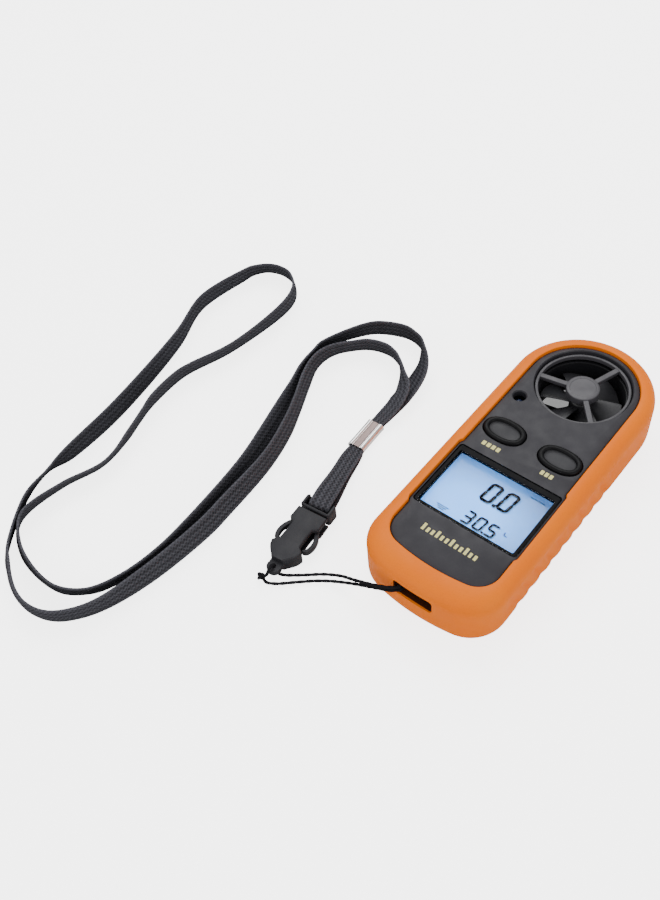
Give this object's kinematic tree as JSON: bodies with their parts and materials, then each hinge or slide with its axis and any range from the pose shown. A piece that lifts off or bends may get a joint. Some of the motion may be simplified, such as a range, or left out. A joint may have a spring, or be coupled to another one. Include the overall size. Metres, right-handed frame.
{
  "type": "handheld weather meter",
  "caption": "Pocket vane anemometer with a display and two push keys, a shrouded fan in its round head, a rubber boot and a neck lanyard with a side-release buckle.",
  "frame": {"origin": "under the middle of the rubber boot, on the surface the meter lies on", "axes": "+X to the meter's right, +Y to its fan end, +Z out of its front face"},
  "size_m": [0.1524, 0.1678, 0.0173],
  "materials": {
    "boot": "soft satin moulded rubber",
    "case": "fine matte moulded plastic",
    "grille": "matte moulded plastic",
    "window": "clear polished",
    "display": "smooth, pale blue",
    "backlight": "smooth, translucent white",
    "zebra": "striped silicone",
    "board": "solder-masked laminate",
    "key": "matte silicone",
    "steel": "plated steel",
    "gold": "plain brass",
    "blade": "dark moulded plastic",
    "magnet": "nickel-plated",
    "bead": "epoxy",
    "seal": "matte rubber",
    "buckle": "semi-matte moulded plastic",
    "crimp": "rolled, plated",
    "tape": "plain woven polyester"
  },
  "bodies": {
    "meter": {"rubber_boot": "boot", "front_case": "case", "rear_case": "case", "front_grille": "grille", "rear_grille": "grille", "duct_sleeve": "grille", "lcd_window": "window", "lcd_glass": "display", "lcd_backlight": "backlight", "elastomer_strip": "zebra", "circuit_board": "board", "coin_cell": "steel", "contact_positive": "gold", "contact_negative": "gold", "switch_dome_mode": "steel", "switch_dome_set": "steel", "temperature_sensor": "bead", "hall_sensor": "bead", "front_bearing": "gold", "rear_bearing": "gold", "case_screw_1": "steel", "case_screw_2": "steel", "case_screw_3": "steel", "case_screw_4": "steel", "lanyard_pin": "steel", "buckle_socket": "buckle", "loop_cord": "tape", "cord_knot": "tape"},
    "rotor": {"impeller": "blade", "impeller_shaft": "steel", "rotor_magnet": "magnet"},
    "mode_key": {"button_mode": "key"},
    "set_key": {"button_set": "key"},
    "cap_carrier": {"cap_seal": "seal"},
    "cap": {"battery_cap": "case"},
    "plug": {"buckle_plug": "buckle", "strap_tail": "tape", "strap_crimp": "crimp", "neck_strap": "tape"},
    "left_arm": {"release_arm_left": "buckle"},
    "right_arm": {"release_arm_right": "buckle"}
  },
  "joints": [
    {"name": "impeller_spin", "type": "hinge", "parent": "meter", "child": "rotor", "pos_m": [0, 0.0323, 0.008], "axis": [0, 0, 1], "continuous": true},
    {"name": "mode_press", "type": "slide", "parent": "meter", "child": "mode_key", "axis": [0, 0, -1], "range_m": [0, 0.0009], "stiffness_N_per_m": 400},
    {"name": "set_press", "type": "slide", "parent": "meter", "child": "set_key", "axis": [0, 0, -1], "range_m": [0, 0.0009], "stiffness_N_per_m": 400},
    {"name": "cap_lift", "type": "slide", "parent": "meter", "child": "cap_carrier", "axis": [0, 0, -1], "range_m": [0, 0.008]},
    {"name": "cap_turn", "type": "hinge", "parent": "cap_carrier", "child": "cap", "pos_m": [0, -0.017, 0.0013], "axis": [0, 0, 1], "range_deg": [0, 30]},
    {"name": "plug_pull", "type": "slide", "parent": "meter", "child": "plug", "axis": [-0.108, 0.9942, 0], "range_m": [0, 0.016]},
    {"name": "left_release", "type": "hinge", "parent": "plug", "child": "left_arm", "pos_m": [-0.04409, -0.04481, 0.0027], "axis": [0, 0, 1], "range_deg": [0, 7], "stiffness_Nm_per_rad": 0.02},
    {"name": "right_release", "type": "hinge", "parent": "plug", "child": "right_arm", "pos_m": [-0.03832, -0.04418, 0.0027], "axis": [0, 0, 1], "range_deg": [-7, 0]}
  ],
  "couplings": [
    {"joint": "right_release", "follows": "left_release", "ratio": -1}
  ]
}
